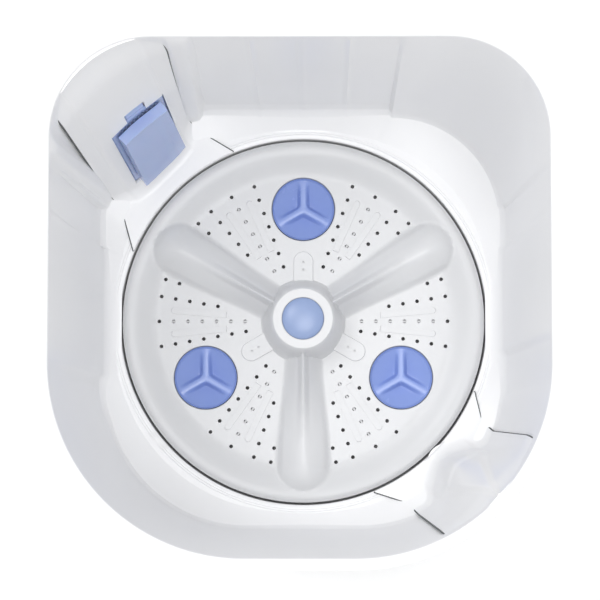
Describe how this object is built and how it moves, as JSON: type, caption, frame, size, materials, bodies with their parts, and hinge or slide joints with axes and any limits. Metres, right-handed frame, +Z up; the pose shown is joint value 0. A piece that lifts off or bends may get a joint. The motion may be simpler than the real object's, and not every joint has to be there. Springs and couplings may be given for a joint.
{
  "type": "top load washing machine",
  "caption": "Compact top loading washing machine with an open rounded square tub, a pulsator with free-spinning rollers, lint filter, belt drive and low front controls; lid off.",
  "frame": {"origin": "on the ground under the middle of the machine's outline", "axes": "+X to the machine's right, +Y to its back, +Z up"},
  "size_m": [0.462, 0.479, 0.7],
  "materials": {
    "white_plastic": "moulded white plastic with a soft gloss",
    "cabinet_plastic": "white plastic shell, satin",
    "blue_plastic": "glossy lavender blue plastic",
    "pale_blue_plastic": "pale blue plastic",
    "grey_plastic": "mid grey plastic",
    "black_plastic": "black plastic",
    "rubber": "black rubber",
    "steel": "bare steel",
    "aluminium": "cast aluminium",
    "bronze": "sintered bronze",
    "copper_wire": "enamelled copper wire"
  },
  "bodies": {
    "machine": {"cabinet": "cabinet_plastic", "base_tray": "grey_plastic", "foot_front_left": "rubber", "foot_front_right": "rubber", "foot_rear_left": "rubber", "foot_rear_right": "rubber", "back_cover": "cabinet_plastic", "back_screw_1": "steel", "back_screw_2": "steel", "cord_gland": "black_plastic", "wash_tub": "white_plastic", "duct_cover": "white_plastic", "overflow_cover": "white_plastic", "overflow_pipe": "grey_plastic", "bearing_housing": "aluminium", "tub_gasket": "rubber", "shaft_seal": "rubber", "upper_bush": "bronze", "lower_bush": "bronze", "housing_bolt_1": "steel", "housing_bolt_2": "steel", "housing_bolt_3": "steel", "motor_bracket": "steel", "drive_belt": "rubber", "motor_housing": "aluminium", "motor_stator": "steel", "motor_windings": "copper_wire", "motor_mount_1": "rubber", "motor_bolt_1": "steel", "motor_mount_2": "rubber", "motor_bolt_2": "steel", "motor_mount_3": "rubber", "motor_bolt_3": "steel", "motor_capacitor": "grey_plastic", "drain_valve_body": "grey_plastic", "drain_valve_cap": "grey_plastic", "drain_valve_spring": "steel", "drain_manifold": "grey_plastic", "control_panel": "grey_plastic", "indicator_lens": "blue_plastic", "timer_box": "black_plastic", "selector_switch": "black_plastic"},
    "pulsator": {"pulsator": "white_plastic", "hub_cap": "blue_plastic", "pulsator_screw": "steel", "drive_shaft": "steel", "drive_pulley": "aluminium", "pulley_nut": "steel"},
    "roller_1": {"roller_1": "blue_plastic"},
    "roller_2": {"roller_2": "blue_plastic"},
    "roller_3": {"roller_3": "blue_plastic"},
    "motor_rotor": {"motor_rotor": "steel", "motor_pulley": "aluminium"},
    "lint_filter": {"lint_filter_front": "pale_blue_plastic", "lint_filter_cage": "pale_blue_plastic"},
    "filter_latch": {"lint_filter_latch": "pale_blue_plastic"},
    "drain_plug": {"drain_valve_plug": "rubber", "pull_strap": "black_plastic"},
    "timer_knob": {"timer_knob": "white_plastic"},
    "selector_knob": {"selector_knob": "white_plastic"}
  },
  "joints": [
    {"name": "pulsator_spin", "type": "hinge", "parent": "machine", "child": "pulsator", "pos_m": [0, 0, 0.322], "axis": [0, 0, 1], "continuous": true},
    {"name": "roller_1_spin", "type": "hinge", "parent": "pulsator", "child": "roller_1", "pos_m": [0, 0.118, 0.31], "axis": [0, 0, 1], "continuous": true},
    {"name": "roller_2_spin", "type": "hinge", "parent": "pulsator", "child": "roller_2", "pos_m": [-0.10219, -0.059, 0.31], "axis": [0, 0, 1], "continuous": true},
    {"name": "roller_3_spin", "type": "hinge", "parent": "pulsator", "child": "roller_3", "pos_m": [0.10219, -0.059, 0.31], "axis": [0, 0, 1], "continuous": true},
    {"name": "motor_spin", "type": "hinge", "parent": "machine", "child": "motor_rotor", "pos_m": [0, 0.135, 0.2], "axis": [0, 0, 1], "continuous": true},
    {"name": "lint_filter_tilt", "type": "hinge", "parent": "machine", "child": "lint_filter", "pos_m": [-0.15026, 0.16582, 0.352], "axis": [0.7071, 0.7071, 0], "range_deg": [0, 28]},
    {"name": "filter_latch_press", "type": "hinge", "parent": "lint_filter", "child": "filter_latch", "pos_m": [-0.161, 0.1894, 0.516], "axis": [0.7071, 0.7071, 0], "range_deg": [-10, 0], "stiffness_Nm_per_rad": 0.4},
    {"name": "timer_turn", "type": "hinge", "parent": "machine", "child": "timer_knob", "pos_m": [-0.058, -0.232, 0.2136], "axis": [0, 1, 0], "range_deg": [0, 300]},
    {"name": "selector_turn", "type": "hinge", "parent": "machine", "child": "selector_knob", "pos_m": [0.035, -0.232, 0.2136], "axis": [0, 1, 0], "range_deg": [0, 90]},
    {"name": "drain_plug_slide", "type": "slide", "parent": "machine", "child": "drain_plug", "axis": [-1, 0, 0], "range_m": [0, 0.0126]}
  ],
  "couplings": [
    {"joint": "motor_spin", "follows": "pulsator_spin", "ratio": 5},
    {"joint": "drain_plug_slide", "follows": "selector_turn", "m_per_rad": 0.008}
  ]
}
